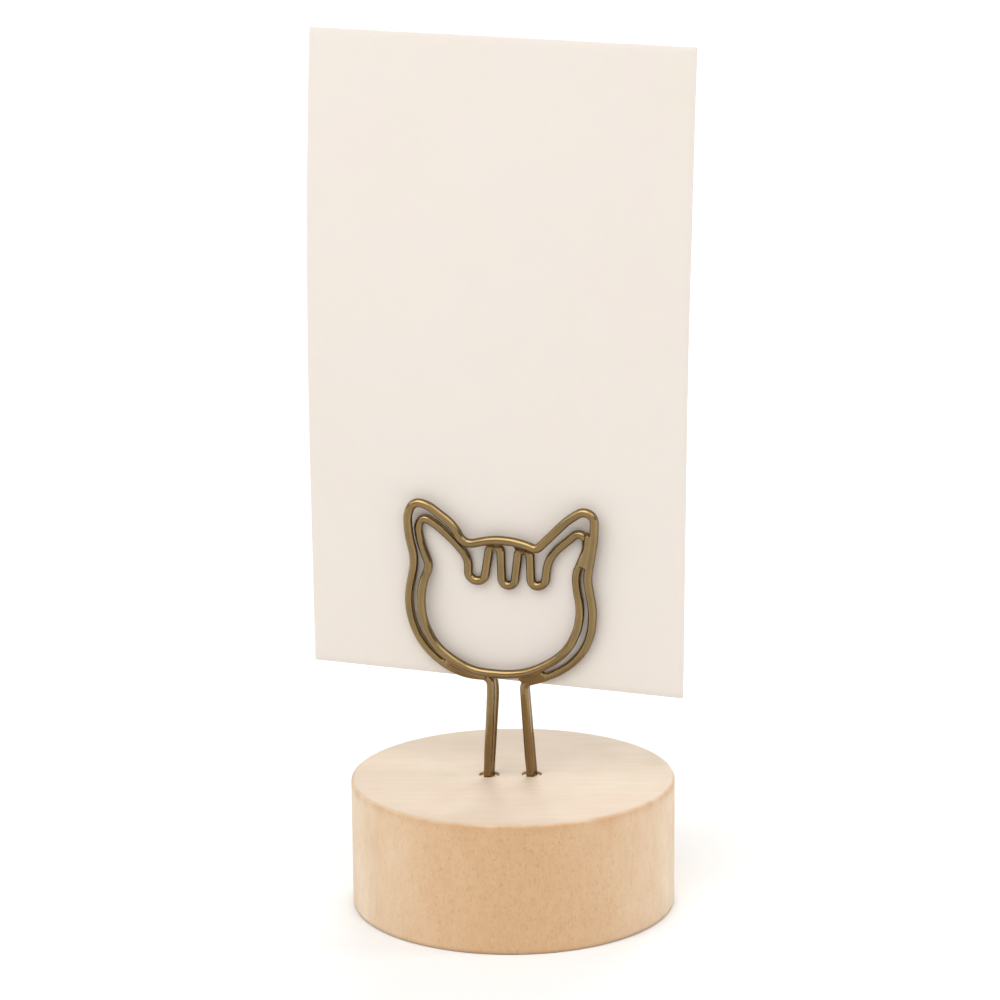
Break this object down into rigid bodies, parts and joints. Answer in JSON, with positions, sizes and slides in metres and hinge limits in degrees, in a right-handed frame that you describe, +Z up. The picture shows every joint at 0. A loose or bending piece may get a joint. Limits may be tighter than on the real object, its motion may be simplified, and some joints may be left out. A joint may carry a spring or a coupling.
{
  "type": "photo block holder",
  "caption": "Round pale wooden block with bent brass wires, shaped as an animal head outline, that grip an upright blank card.",
  "frame": {"origin": "middle of the block's flat underside, which rests on the table", "axes": "+Z up, the card and the front wire face -Y, +X to the right as seen from the front"},
  "size_m": [0.0572, 0.046, 0.1238],
  "materials": {
    "pale_wood": "matte",
    "brass_wire": "satin",
    "card_stock": "matte",
    "set_glue": "satin"
  },
  "bodies": {
    "holder": {"wooden_block": "pale_wood", "left_glue_plug": "set_glue", "right_glue_plug": "set_glue"},
    "front_clip": {"front_wire_clip": "brass_wire", "front_inner_ring": "brass_wire"},
    "rear_clip": {"rear_wire_clip": "brass_wire"},
    "card": {"display_card": "card_stock"}
  },
  "joints": [
    {"name": "front_clip_flex", "type": "hinge", "parent": "holder", "child": "front_clip", "pos_m": [-0.00035, -0.00071, 0.01615], "axis": [1, 0, 0], "range_deg": [0, 1], "stiffness_Nm_per_rad": 3.1},
    {"name": "rear_clip_flex", "type": "hinge", "parent": "holder", "child": "rear_clip", "pos_m": [-0.00035, 0.00071, 0.01615], "axis": [-1, 0, 0], "range_deg": [0, 1], "stiffness_Nm_per_rad": 3.1},
    {"name": "card_slide", "type": "slide", "parent": "holder", "child": "card", "axis": [0, -0.1115, 0.9938], "range_m": [0, 0.03]}
  ]
}
